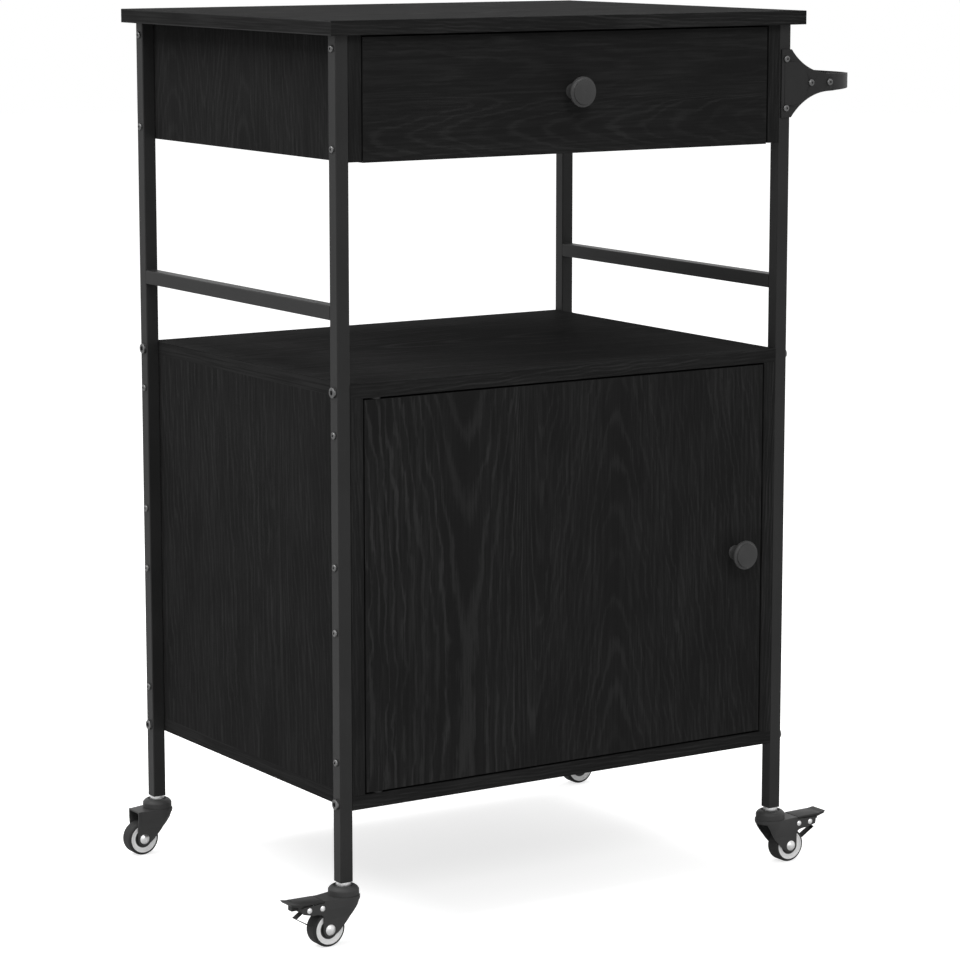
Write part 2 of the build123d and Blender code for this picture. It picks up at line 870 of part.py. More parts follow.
def make_handle_screws():
    places = []
    for x, z in leg_screw_points() + arm_screw_points():
        places.append(place((x, front_y - bracket_thickness, z), (0, -1, 0)))
        places.append(place((x, back_y + bracket_thickness, z), (0, 1, 0)))
    make_screws("handle_screws", handle_screw_length, places)


# Casters: distances are measured from the stem's axis along the trail, and up from the floor

def caster_planes(side, end):
    across, along = leg_centre(side, end)
    floor = Plane(origin=(across, along, 0), x_dir=(side, 0, 0), z_dir=(0, 0, 1))
    upright = Plane(origin=(across, along, 0), x_dir=(side, 0, 0), z_dir=(0, -side, 0))
    return floor, upright


def cross_place(side, end, trail, height):
    # A place in front of the caster at a trail and a height, facing through it to the back.
    across, along = leg_centre(side, end)
    return place((across + side * trail, along - shoulder_radius, height), (0, 1, 0))


def turning_plane(centre):
    # Upward plane at a wheel's or pin's middle, for a profile turned about an axis along Y.
    return Plane(origin=centre, x_dir=(1, 0, 0), z_dir=(0, 0, 1))


def wheel_centre(side, end):
    across, along = leg_centre(side, end)
    return across + side * caster_trail, along, wheel_radius


def make_caster_stems():
    low_z = crown_z - bearing_gap
    neck_z = cup_recess_z + bearing_gap
    profile = [
        (0, caster_height + stem_length), (stem_radius, caster_height + stem_length),
        (stem_radius, caster_height), (collar_radius, caster_height), (collar_radius, neck_z),
        (kingpin_radius, neck_z), (kingpin_radius, low_z), (kingpin_head_radius, low_z),
        (kingpin_head_radius - kingpin_head_bevel, low_z - kingpin_head_height),
        (0, low_z - kingpin_head_height),
    ]
    with BuildPart() as stems:
        for _, side in sides:
            for _, end in ends:
                across, along = leg_centre(side, end)
                with BuildSketch(Plane(origin=(across, along, 0), x_dir=(1, 0, 0), z_dir=(0, -1, 0))):
                    with BuildLine():
                        Polyline(*profile, close=True)
                    make_face()
                revolve(axis=Axis((across, along, 0), (0, 0, 1)))
    save(stems, "caster_stems")


def draw_fork_section(front_radius, tail, tail_half):
    # An arc round the stem, flanks tangent to it that run to the cheeks' tail, then straight sides.
    reach = hypot(cheek_flank_trail, tail_half)
    angle = atan2(tail_half, cheek_flank_trail) + acos(front_radius / reach)
    flank = (front_radius * cos(angle), front_radius * sin(angle))
    corners = [flank, (cheek_flank_trail, tail_half), (tail, tail_half)]
    mirrored = [(trail, -half) for trail, half in corners]
    ThreePointArc(flank, (-front_radius, 0), mirrored[0])
    Polyline(*mirrored, *reversed(corners))


def fork_sections(inset, top_z):
    # Levels, front radius and tail half width of the skirt, drawn in by the metal for its inside.
    low_half = cheek_low_half - flank_taper - inset
    return (
        (top_z, shoulder_radius - inset, cheek_top_half - inset),
        (shoulder_z, shoulder_radius - inset, cheek_top_half - inset),
        (cheek_bend_high_z, cheek_front_radius - inset, cheek_top_half - inset),
        (cheek_bend_low_z, cheek_low_half - inset, low_half),
        (wheel_radius - lug_radius - cut_margin, cheek_low_half - inset, low_half),
    )


def skirt_faces(floor, inset, top_z, tail):
    faces = []
    for level, radius, half in fork_sections(inset, top_z):
        with BuildSketch(floor.offset(level)) as section:
            with BuildLine():
                draw_fork_section(radius, tail, half)
            make_face()
        faces.append(section.sketch.face())
    return faces


def wing_corners():
    # The hollow under the wing, its flat, the rise to its end and the bevelled end.
    return [
        (wing_hollow_trail, wing_hollow_z), (wing_flat_start, wing_low_z), (wing_flat_end, wing_low_z),
        (wing_tail - wing_end_slant, wing_end_low_z), (wing_tail, wing_end_high_z),
        (wing_tail - wing_bevel, wing_end_high_z + wing_bevel),
    ]


def draw_fork_side(braked):
    # The fork seen from the side: throat, lug round the axle, tail or wing, crown.
    diagonal = lug_radius * sin(radians(45))
    lug_front = (caster_trail - lug_neck, wheel_radius + lug_rise)
    lug_low = (caster_trail, wheel_radius - lug_radius)
    lug_tail = (cheek_tail, wheel_radius)
    shoulder = Line((-shoulder_radius - cut_margin, shoulder_low_z), (-throat_trail, shoulder_low_z))
    SagittaArc(shoulder @ 1, lug_front, -throat_bulge)
    ThreePointArc(lug_front, (caster_trail - diagonal, wheel_radius - diagonal), lug_low)
    rise = ThreePointArc(lug_low, (caster_trail + diagonal, wheel_radius - diagonal), lug_tail)
    wing = [(cheek_tail, wing_root_z), *wing_corners(), (cheek_tail, wing_root_high_z)] if braked else []
    crown = [
        (cheek_tail, crown_tail_z), (crown_front_trail, crown_front_z),
        (crown_bevel - shoulder_radius, crown_front_z), (-shoulder_radius, crown_edge_z),
        (-shoulder_radius - cut_margin, crown_edge_z),
    ]
    Polyline(rise @ 1, *wing, *crown, shoulder @ 0)


def cup_section(origin):
    # Half of the swivel's cup, with the recess that the collar runs in.
    with BuildSketch(Plane(origin=origin, x_dir=(1, 0, 0), z_dir=(0, -1, 0))) as section:
        with BuildLine():
            foot = Line((0, crown_z + cut_margin), (cup_radius, crown_z + cut_margin))
            wall = Line(foot @ 1, (cup_radius, cup_shoulder_z))
            bow = ThreePointArc(
                wall @ 1, (cup_radius - cup_bow_inset, cup_top_z - cup_bow_drop), (cup_rim_radius, cup_top_z),
            )
            Polyline(bow @ 1, (cup_recess_radius, cup_recess_z), (0, cup_recess_z), foot @ 0)
        make_face()
    return section.sketch


def fork_pin_holes(braked):
    # Trail, height and radius of each cross hole.
    holes = [(caster_trail, wheel_radius, axle_radius)]
    if braked:
        holes += [(trail, rivet_height, rivet_radius) for trail in (fixed_rivet_trail, pedal_pivot_trail)]
    return holes


def make_fork(name, side, end, braked):
    floor, upright = caster_planes(side, end)
    tail = wing_tail + cut_margin if braked else cheek_tail
    outside = skirt_faces(floor, 0, crown_front_z, tail)
    inside = skirt_faces(floor, fork_metal, crown_z, tail + cut_margin)
    cup = cup_section(floor.origin)
    kingpin_hole = place(floor.offset(crown_z - cut_margin).origin, (0, 0, 1))
    with BuildPart() as fork:
        loft(outside, ruled=True)
        with BuildSketch(upright.offset(-2 * shoulder_radius)):
            with BuildLine():
                draw_fork_side(braked)
            make_face()
        extrude(amount=4 * shoulder_radius, mode=Mode.INTERSECT)
        loft(inside, ruled=True, mode=Mode.SUBTRACT)
        if braked:
            # Between the wings, behind the crown, the fork is open for the pedal
            with BuildSketch(floor.offset(cheek_bend_high_z)):
                with Locations(((cheek_tail + wing_tail) / 2 + cut_margin, 0)):
                    Rectangle(wing_tail - cheek_tail, 2 * (cheek_top_half - fork_metal))
            extrude(amount=crown_front_z, mode=Mode.SUBTRACT)
        revolve(cup, axis=Axis(floor.origin, (0, 0, 1)))
        drill([kingpin_hole], kingpin_radius + running_fit, cup_top_z)
        for trail, height, radius in fork_pin_holes(braked):
            drill([cross_place(side, end, trail, height)], radius + press_clearance, 2 * shoulder_radius)
    save(fork, f"fork_{name}")


def draw_pin(radius, half_span, cap_radius, cap_height):
    # Half of a pin with a domed cap at each end, as radius against distance along its axis.
    middle_radius, middle_rise = dome_middle(cap_radius, cap_height)
    low_dome = ThreePointArc(
        (0, -half_span - cap_height), (middle_radius, -half_span - middle_rise), (cap_radius, -half_span),
    )
    Polyline(low_dome @ 1, (radius, -half_span), (radius, half_span), (cap_radius, half_span))
    high_dome = ThreePointArc(
        (cap_radius, half_span), (middle_radius, half_span + middle_rise), (0, half_span + cap_height),
    )
    Line(high_dome @ 1, low_dome @ 0)


def make_caster_pins(name, side, end, braked):
    across, along = leg_centre(side, end)
    axle = (caster_trail, wheel_radius, axle_radius, cheek_low_half, axle_cap_radius, axle_cap_height)
    rivet = (rivet_height, rivet_radius, cheek_top_half, rivet_head_radius, rivet_head_height)
    pins = [axle]
    if braked:
        pins += [(trail, *rivet) for trail in (fixed_rivet_trail, pedal_pivot_trail)]
    with BuildPart() as caster_pins:
        for trail, height, radius, half_span, cap_radius, cap_height in pins:
            centre = (across + side * trail, along, height)
            with BuildSketch(turning_plane(centre)):
                with BuildLine():
                    draw_pin(radius, half_span, cap_radius, cap_height)
                make_face()
            revolve(axis=Axis(centre, (0, 1, 0)))
    save(caster_pins, f"caster_pins_{name}")


def make_rim(name, side, end):
    centre = wheel_centre(side, end)
    half = wheel_width / 2
    bore = axle_radius + running_fit
    outer_side = [
        (bore, half), (rim_boss_radius, half), (rim_boss_radius + rim_dish, half - rim_dish),
        (rim_groove_radius, half - rim_dish), (rim_groove_radius + rim_dish, half), (rim_radius, half),
        (rim_radius, half - rim_flange), (rim_groove_radius, half - rim_flange),
    ]
    other_side = [(radius, -level) for radius, level in reversed(outer_side)]
    with BuildPart() as rim:
        with BuildSketch(turning_plane(centre)):
            with BuildLine():
                Polyline(*outer_side, *other_side, close=True)
            make_face()
        revolve(axis=Axis(centre, (0, 1, 0)))
    save(rim, f"rim_{name}")


def make_tyre(name, side, end):
    centre = wheel_centre(side, end)
    half = wheel_width / 2
    bow_radius = wheel_radius - tyre_bow_inset
    bow_level = half - tyre_bow_drop
    tread_level = half - tyre_rounding
    foot = half - rim_flange
    with BuildPart() as tyre:
        with BuildSketch(turning_plane(centre)):
            with BuildLine():
                ThreePointArc((rim_radius, half), (bow_radius, bow_level), (wheel_radius, tread_level))
                Line((wheel_radius, tread_level), (wheel_radius, -tread_level))
                ThreePointArc((wheel_radius, -tread_level), (bow_radius, -bow_level), (rim_radius, -half))
                Polyline(
                    (rim_radius, -half), (rim_radius, -foot), (rim_groove_radius, -foot),
                    (rim_groove_radius, foot), (rim_radius, foot), (rim_radius, half),
                )
            make_face()
        revolve(axis=Axis(centre, (0, 1, 0)))
    save(tyre, f"tyre_{name}")


# Brake pedals and their springs, on the two front casters

def pedal_side_corners():
    # A flat plate level with the fork's crown, turned up a little to its tip and stepped down past the wings.
    root = cheek_tail + pedal_end_gap
    return [
        (root, pedal_low_z), (root, pedal_root_high_z), (pedal_bend_trail, pedal_bend_z),
        (pedal_tip, pedal_tip_high_z), (pedal_tip - pedal_tip_slant, pedal_tip_low_z),
        (pedal_step_trail, pedal_step_z), (wing_tail + pedal_end_gap, pedal_step_z),
        (wing_tail + pedal_end_gap, pedal_low_z),
    ]


def pedal_plan_corners():
    widths = [(cheek_tail, pedal_half), (pedal_step_trail, pedal_half), (pedal_tip, pedal_tip_half)]
    return [(trail, -half) for trail, half in widths] + widths[::-1]


def block_face(plane, low, high):
    # A rectangle between two corners of a side view.
    with BuildSketch(plane) as block:
        with Locations(((low[0] + high[0]) / 2, (low[1] + high[1]) / 2)):
            Rectangle(high[0] - low[0], high[1] - low[1])
    return block.sketch


def make_brake_pedal(name, side, end):
    floor, upright = caster_planes(side, end)
    lug_half = cheek_top_half - fork_metal - pedal_side_gap
    lug_low = (pedal_pivot_trail - pedal_lug_half_length, pedal_lug_low_z)
    lug_high = (pedal_pivot_trail + pedal_lug_half_length, pedal_low_z + cut_margin)
    lug = block_face(upright.offset(-lug_half), lug_low, lug_high)
    rib_low = (wing_tail + pedal_end_gap, pedal_rib_low_z)
    rib_high = (pedal_rib_tail, pedal_tip_low_z)
    rib = block_face(upright.offset(-pedal_rib_half), rib_low, rib_high)
    with BuildPart() as pedal:
        with BuildSketch(upright.offset(-pedal_half)):
            with BuildLine():
                Polyline(*pedal_side_corners(), close=True)
            make_face()
        extrude(amount=2 * pedal_half)
        with BuildSketch(floor):
            with BuildLine():
                Polyline(*pedal_plan_corners(), close=True)
            make_face()
        extrude(amount=caster_height, mode=Mode.INTERSECT)
        extrude(lug, amount=2 * lug_half)
        extrude(rib, amount=2 * pedal_rib_half)
        pivot_hole = cross_place(side, end, pedal_pivot_trail, rivet_height)
        drill([pivot_hole], rivet_radius + running_fit, 2 * shoulder_radius)
    save(pedal, f"brake_pedal_{name}")


def beside(point, start, finish, distance):
    # The point moved square to a run, to the run's left.
    length = hypot(finish[0] - start[0], finish[1] - start[1])
    across = (start[1] - finish[1]) / length
    up = (finish[0] - start[0]) / length
    return point[0] + distance * across, point[1] + distance * up


def make_brake_spring(name, side, end):
    # A leaf from the pedal's lug down to an elbow and back to the tyre.
    upright = caster_planes(side, end)[1]
    root = (spring_root_trail, pedal_lug_low_z)
    elbow = (spring_elbow_trail, spring_elbow_z)
    shoe = (shoe_trail, shoe_z)
    outer_root = (spring_root_trail + spring_metal, pedal_lug_low_z)
    outer_elbow = beside(beside(elbow, root, elbow, spring_metal), elbow, shoe, spring_metal)
    outer_shoe = beside(shoe, elbow, shoe, spring_metal)
    with BuildPart() as spring:
        with BuildSketch(upright.offset(-spring_half)):
            with BuildLine():
                Polyline(root, elbow, shoe, outer_shoe, outer_elbow, outer_root, close=True)
            make_face()
        extrude(amount=2 * spring_half)
    save(spring, f"brake_spring_{name}")


for side_name, side in sides:
    for end_name, end in ends:
        name = f"{end_name}_{side_name}"
        braked = end_name == "front"
        make_leg(side_name, side, end_name, end)
        make_fork(name, side, end, braked)
        make_caster_pins(name, side, end, braked)
        make_rim(name, side, end)
        make_tyre(name, side, end)
        if braked:
            make_brake_pedal(name, side, end)
            make_brake_spring(name, side, end)
    make_rail(side_name, side)
    upper, cabinet = panel_screw_levels()
    make_side_panel(f"upper_side_{side_name}", side, panel_low, upper_box_height, upper, True)
    make_side_panel(f"cabinet_side_{side_name}", side, bottom_top, cabinet_height, cabinet, False)
    make_drawer_side(side_name, side)

make_leg_inserts()
make_top_board()
make_cross_board("mid_shelf", shelf_low, shelf_low, 1)
make_cross_board("bottom_board", bottom_low, bottom_top, -1)
make_back_panel("upper_back", panel_low, upper_box_height, True)
make_back_panel("cabinet_back", bottom_top, cabinet_height, False)
make_top_dowels()
make_panel_screws()
make_board_bolts()
make_drawer_front()
make_drawer_back()
make_drawer_bottom()
make_channels("runners_outer", 0, runner_flange, runner_height / 2, runner_metal, True)
make_channels("runners_inner", inner_runner_near, runner_space, inner_runner_height / 2, runner_metal, False)
make_ball_cages()
make_knob("drawer_knob", middle_x, handle_z)
make_knob_screw("drawer_knob_screw", middle_x, handle_z)
make_door()
make_knob("door_knob", door_knob_x, cabinet_middle_z)
make_knob_screw("door_knob_screw", door_knob_x, cabinet_middle_z)
make_pivot_pins()
make_pivot_bushes()
make_magnet_catch()
make_catch_plate()
make_handle_brackets()
make_handle_bar()
make_handle_screws()
make_caster_stems()
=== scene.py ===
import bpy
import math
import numpy as np
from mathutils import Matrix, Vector


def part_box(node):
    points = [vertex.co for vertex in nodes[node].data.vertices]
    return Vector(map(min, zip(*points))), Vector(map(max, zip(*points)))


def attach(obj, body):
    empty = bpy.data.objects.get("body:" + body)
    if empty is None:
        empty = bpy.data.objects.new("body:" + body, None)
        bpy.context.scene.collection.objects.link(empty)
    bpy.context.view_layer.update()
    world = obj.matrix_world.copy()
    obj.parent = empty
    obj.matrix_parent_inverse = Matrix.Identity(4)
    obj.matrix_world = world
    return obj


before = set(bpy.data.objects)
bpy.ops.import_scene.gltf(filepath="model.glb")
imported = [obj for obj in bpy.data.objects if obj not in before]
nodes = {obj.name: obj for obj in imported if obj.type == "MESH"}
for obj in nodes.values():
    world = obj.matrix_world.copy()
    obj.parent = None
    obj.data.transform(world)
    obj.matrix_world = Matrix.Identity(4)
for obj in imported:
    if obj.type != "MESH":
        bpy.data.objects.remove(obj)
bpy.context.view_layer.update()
scene = bpy.context.scene
corners = ("front_left", "front_right", "back_left", "back_right")
topLow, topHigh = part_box("top_board")
cartMiddle = (topLow[0] + topHigh[0]) / 2  # X of the middle of the boards
print("frame loaded:", len(nodes), "nodes")


class Signal:  # wraps one output socket; an expression on signals adds its Math nodes
    def __init__(self, tree, socket=None):
        self.tree, self.socket = tree, socket

    def node(self, kind, settings=None, values=None, output=0):  # any node: settings first, then sockets
        made = self.tree.nodes.new(kind)
        for name, value in (settings or {}).items():
            setattr(made, name, value)
        for name, value in (values or {}).items():
            if isinstance(value, Signal):
                self.tree.links.new(value.socket, made.inputs[name])
            else:
                made.inputs[name].default_value = value
        return Signal(self.tree, made.outputs[output])

    def maths(self, operation, *terms):
        return self.node("ShaderNodeMath", {"operation": operation}, dict(enumerate(terms)))

    def __add__(self, other): return self.maths("ADD", self, other)
    def __radd__(self, other): return self.maths("ADD", other, self)
    def __sub__(self, other): return self.maths("SUBTRACT", self, other)
    def __rsub__(self, other): return self.maths("SUBTRACT", other, self)
    def __mul__(self, other): return self.maths("MULTIPLY", self, other)
    def __rmul__(self, other): return self.maths("MULTIPLY", other, self)
    def __truediv__(self, other): return self.maths("DIVIDE", self, other)
    def __rtruediv__(self, other): return self.maths("DIVIDE", other, self)
    def __pow__(self, other): return self.maths("POWER", self, other)
    def __abs__(self): return self.maths("ABSOLUTE", self)

    def larger(self, other):
        return self.maths("MAXIMUM", self, other)

    def eased(self, low, high):  # smooth rise from 0 at low to 1 at high
        values = {"Value": self, "From Min": low, "From Max": high}
        return self.node("ShaderNodeMapRange", {"interpolation_type": "SMOOTHSTEP"}, values)

    def parts(self):  # the three numbers of a vector
        split = self.node("ShaderNodeSeparateXYZ", {}, {0: self})
        return [Signal(self.tree, socket) for socket in split.socket.node.outputs]

    def vector(self, x, y, z):
        return self.node("ShaderNodeCombineXYZ", {}, {0: x, 1: y, 2: z})

    def noise(self, place, scale=1.0, detail=2.0, roughness=0.5):  # 0 to 1, about 0.5 on average
        values = {"Vector": place, "Scale": scale, "Detail": detail, "Roughness": roughness}
        return self.node("ShaderNodeTexNoise", {}, values, "Fac")

    def mixed(self, other, share):  # this signal at share 0, the other at share 1
        return self + (other - self) * share

    def blend(self, dark, light):  # from one colour to another as this signal goes from 0 to 1
        values = {0: self, 6: (*dark, 1.0), 7: (*light, 1.0)}
        return self.node("ShaderNodeMix", {"data_type": "RGBA"}, values, 2)


def newMaterial(name, sockets):  # a material, its starting signal and its shader
    material = bpy.data.materials.new(name)
    material.use_nodes = True
    shader = material.node_tree.nodes["Principled BSDF"]
    for socket, value in sockets.items():
        shader.inputs[socket].default_value = value
    return material, Signal(material.node_tree), shader


def feed(shader, **signals):  # links signals to the shader's sockets, named in camelCase
    names = {"baseColor": "Base Color", "roughness": "Roughness", "normal": "Normal"}
    for name, signal in signals.items():
        signal.tree.links.new(signal.socket, shader.inputs[names[name]])


def bump(height, distance, strength=1.0):
    values = {"Height": height, "Distance": distance, "Strength": strength}
    return height.node("ShaderNodeBump", {}, values, "Normal")


def objectPlace(start):
    return start.node("ShaderNodeTexCoord", output="Object")


def grey(level):
    return (level, level, level)


def assign(material, *names):
    for name in names:
        slots = nodes[name].data.materials
        slots.clear()
        slots.append(material)


# Black oak foil. Colours are linear, sway, jag and nick are how far in metres the lines are moved aside,
# edgeRings counts rings per metre of depth, and the Share values say how much of a signal is let through.
oakLook = {
    "darkBase": grey(0.0128), "lightLine": grey(0.0315), "specular": 0.001,
    "roughness": 0.60, "lineGloss": 0.08, "fineMatt": 0.06, "reliefDepth": 0.00010, "reliefShare": 0.6,
    "sway": 0.026, "jag": 0.0150, "nick": 0.0040, "edgeRings": 250.0,
    "lineRange": (0.50, 1.05), "dash": 1.0, "swell": 0.8, "fray": 0.4,
    "strengthRange": (0.34, 0.62), "strengthShare": 0.6, "strengthLeast": 0.4,
    "calmShare": 0.8, "fineGain": 1.6, "fineBase": 0.45,
    "patchRange": (0.30, 0.60), "patchShare": 0.6, "patchLeast": 0.4,
    "endRange": (0.55, 0.80), "bandRange": (0.36, 0.68), "bandShare": 0.55, "bandLeast": 0.16,
    # edge highlight range and share: the painted highlight, a light line along the worktop ends' upper and
    # lower edges
    "edgeHighlightRange": (0.0058, 0.0068), "edgeHighlightShare": 1.3,
    "lineLight": 0.62, "fineLight": 0.34, "patchLight": 0.16,
}

# Noises of the wood: counts per metre across, along and through the board (swell and strength: per ring, and
# per metre along and across), the one of the three that the board's seed is added to, detail and roughness.
oakNoises = {
    "sway": ((9.0, 2.6, 2.0), 0, 2.0, 0.5), "jag": ((60.0, 22.0, 60.0), 1, 1.0, 0.5),
    "nick": ((420.0, 120.0, 400.0), 1, 2.0, 0.5), "pores": ((560.0, 26.0, 560.0), None, 2.0, 0.6),
    "streaks": ((260.0, 6.0, 260.0), 1, 2.0, 0.5), "patches": ((24.0, 9.0, 9.0), 1, 2.0, 0.5),
    "swell": ((0.73, 9.0, 12.0), 0, 2.0, 0.5), "strength": ((0.41, 4.0, 5.0), 1, 1.0, 0.5),
    "band": ((14.0, 500.0, 620.0), 2, 2.0, 0.5),
}


def figure(centre, level, bow, width, rise, bold, pinch=0.0, phase=0.0):
    # A figure has its centre across the grain, its level along it, bow (rings per square metre across),
    # width beyond which its lines run straight, rise (rings per metre along, whose sign turns the arches
    # over), bold, the strength of its lines, pinch (rings per square metre along, for lines that close in
    # and open again) and phase, the ring count at its centre.
    return {"centre": centre, "level": level, "bow": bow, "width": width, "rise": rise, "bold": bold,
            "pinch": pinch, "phase": phase}


# Each board: the axis its grain follows, the axis across it, its one or two figures, where across the board
# the first goes over into the second, and clear, the half width of the calm wood inside a figure. X counts
# from the middle of the boards.
boardPlans = {
    "door": {"grain": 2, "across": 0, "join": (-0.075, -0.030), "clear": 0.030, "figures": [
        figure(-0.134, 0.245, 1650, 0.031, 0.0, 1.0, pinch=26.0, phase=0.5),
        figure(0.060, 0.36, 2600, 0.024, 20.0, 0.50)]},
    "drawer_front": {"grain": 0, "across": 2, "join": (0.865, 0.890), "clear": 0.014, "figures": [
        figure(0.842, -0.10, 5200, 0.016, -24.0, 0.50), figure(0.905, 0.02, 3400, 0.020, 9.0, 0.30)]},
    "upper_side_left": {"grain": 2, "across": 1, "join": (0.075, 0.115), "clear": 0.018, "figures": [
        figure(0.005, 0.90, 2600, 0.024, 24.0, 0.40), figure(0.165, 0.80, 2600, 0.024, 24.0, 0.40)]},
    "upper_side_right": {"grain": 2, "across": 1, "clear": 0.020, "figures": [
        figure(0.04, 0.90, 2600, 0.024, -22.0, 0.45)]},
    "upper_back": {"grain": 0, "across": 2, "clear": 0.015, "figures": [
        figure(0.865, 0.0, 4200, 0.018, 18.0, 0.7)]},
    "cabinet_side_left": {"grain": 2, "across": 1, "join": (-0.095, -0.030), "clear": 0.026, "figures": [
        figure(0.035, 0.36, 2300, 0.026, 16.0, 0.45), figure(-0.145, 0.20, 1900, 0.030, -12.0, 0.45)]},
    "cabinet_side_right": {"grain": 2, "across": 1, "join": (0.02, 0.09), "clear": 0.026, "figures": [
        figure(-0.06, 0.30, 2300, 0.026, -13.0, 0.7), figure(0.15, 0.30, 2000, 0.028, 10.0, 0.7)]},
    "cabinet_back": {"grain": 2, "across": 0, "join": (-0.06, 0.05), "clear": 0.030, "figures": [
        figure(-0.14, 0.36, 2200, 0.027, 13.0, 0.7), figure(0.12, 0.28, 2000, 0.028, -12.0, 0.8)]},
    "top_board": {"grain": 0, "across": 1, "join": (-0.02, 0.06), "clear": 0.028, "figures": [
        figure(-0.08, -0.05, 2100, 0.028, 11.0, 0.8), figure(0.12, 0.05, 1900, 0.028, -12.0, 0.7)],
        # the worktop's middle height, about which the painted highlight on its ends is placed
        "highlightMiddle": (topLow[2] + topHigh[2]) / 2},
    "mid_shelf": {"grain": 0, "across": 1, "clear": 0.028, "figures": [
        figure(0.03, 0.0, 2200, 0.027, -12.0, 0.7)]},
    "bottom_board": {"grain": 0, "across": 1, "clear": 0.028, "figures": [
        figure(-0.02, 0.0, 2300, 0.027, 11.0, 0.7)]},
}
seedStep, seedStart = 3.7, 1.3  # a board's seed is its number times the step, plus the start


def oakNoise(start, kind, seed, ways):
    # Noise over three ways, each drawn out by its own count, with the seed added to one of them.
    counts, seeded, detail, roughness = oakNoises[kind]
    place = [way * count for way, count in zip(ways, counts)]
    if seeded is not None:
        place[seeded] = place[seeded] + seed
    return start.noise(start.vector(*place), 1.0, detail, roughness)


def ringCount(along, across, form):
    # Growth rings passed on the way from the figure's centre: a hyperbola across the grain, which is bow
    # times the square of the distance near the centre and a straight slope beyond width, plus rise times
    # the way along the grain and the phase, less pinch times the square of the way along.
    offset = across - form["centre"]
    way = along - form["level"]
    hyperbola = (offset * offset + form["width"] ** 2) ** 0.5 - form["width"]
    rings = hyperbola * (2 * form["bow"] * form["width"]) + way * form["rise"] + form["phase"]
    return rings - way * way * form["pinch"] if form["pinch"] else rings


def boardRings(plan, along, bent, across):
    # Ring count and line strength of the board: the first figure's, eased into the second's over the join.
    first, *others = plan["figures"]
    rings = ringCount(along, bent, first)
    if not others:
        return rings, first["bold"]
    share = across.eased(*plan["join"])
    bold = share * (others[0]["bold"] - first["bold"]) + first["bold"]
    return rings.mixed(ringCount(along, bent, others[0]), share), bold


def ringLines(start, plan, seed, ways, pores, streaks):
    # A ring shows as a line where its fraction is near a half. The lines sway, jag and nick aside, and the
    # pulse of a ring is roughened by the pores before it is cut to a line, so it is made of short dashes.
    look = oakLook
    across, along, depth = ways
    sway, jag, nick = (oakNoise(start, kind, seed, ways) - 0.5 for kind in ("sway", "jag", "nick"))
    bent = across + sway * look["sway"] + jag * look["jag"] + nick * look["nick"]
    rings, bold = boardRings(plan, along, bent, across)
    rings = rings + depth * look["edgeRings"]  # thin lines on the edges, where depth runs across the grain
    ring = rings.maths("FLOOR", rings)
    pulse = 1 - abs((rings - ring) * 2.0 - 1.0)
    swell, strength = (oakNoise(start, kind, seed, (ring, along, across)) for kind in ("swell", "strength"))
    strength = strength.eased(*look["strengthRange"]) * look["strengthShare"] + look["strengthLeast"]
    rough = (pores - 0.5) * look["dash"] + (swell - 0.5) * look["swell"] + (streaks - 0.5) * look["fray"]
    return (pulse + rough).eased(*look["lineRange"]) * strength * bold


def fineStreaks(plan, across, pores, streaks, patches):
    # Streaks and pores lifted about their middle, in patches, and held back inside the figures by a bell
    # that is one over the square of one plus the squared distance in units of clear.
    look = oakLook
    calm = 1.0
    for form in plan["figures"]:
        distance = (across - form["centre"]) / plan["clear"]
        calm = calm - (distance * distance + 1.0) ** -2.0 * (form["bold"] * look["calmShare"])
    lifted = (streaks - 0.5) * look["fineGain"] + (pores - 0.5) * look["fineGain"] + look["fineBase"]
    patchy = patches.eased(*look["patchRange"]) * look["patchShare"] + look["patchLeast"]
    return lifted.eased(0.0, 1.0) * calm.larger(0.0) * patchy


def endBand(start, plan, seed, ways):
    # The band on the board's ends has its streaks along the edge and stands a little lighter; the worktop's
    # ends also get a painted highlight, a light line along their upper and lower edges where rounded arrises
    # would catch the light.
    look = oakLook
    band = oakNoise(start, "band", seed, ways).eased(*look["bandRange"])
    band = band * look["bandShare"] + look["bandLeast"]
    if "highlightMiddle" in plan:
        # painted highlight: the last millimetre or so by the worktop's upper and lower edges is lightened
        band = band + abs(ways[2] - plan["highlightMiddle"]).eased(*look["edgeHighlightRange"]) * look["edgeHighlightShare"]
    return band


def oakMaterial(name, plan, seed):
    # Lines and fine streaks on the faces, the band on the ends, and their light as a weighted sum.
    look = oakLook
    material, start, shader = newMaterial(name, {"Specular IOR Level": look["specular"]})
    place = objectPlace(start).parts()
    facing = start.node("ShaderNodeTexCoord", output="Normal").parts()
    place[0] = place[0] - cartMiddle
    grain, across = plan["grain"], plan["across"]
    ways = (place[across], place[grain], place[3 - grain - across])
    pores, streaks, patches = (oakNoise(start, kind, seed, ways) for kind in ("pores", "streaks", "patches"))
    onEnd = abs(facing[grain]).eased(*look["endRange"])
    lines = ringLines(start, plan, seed, ways, pores, streaks).mixed(endBand(start, plan, seed, ways), onEnd)
    fine = fineStreaks(plan, ways[0], pores, streaks, patches) * (1 - onEnd)
    light = lines * look["lineLight"] + fine * look["fineLight"] + (patches - 0.5) * look["patchLight"]
    feed(shader, baseColor=light.larger(0.0).blend(look["darkBase"], look["lightLine"]),
         roughness=look["roughness"] - lines * look["lineGloss"] + fine * look["fineMatt"],
         normal=bump(lines * look["reliefShare"] + fine * look["reliefShare"], look["reliefDepth"]))
    return material


for index, (boardName, plan) in enumerate(boardPlans.items()):
    seed = seedStep * index + seedStart
    assign(oakMaterial("black oak " + boardName.replace("_", " "), plan, seed), boardName)
print("oak made for", len(boardPlans), "boards")

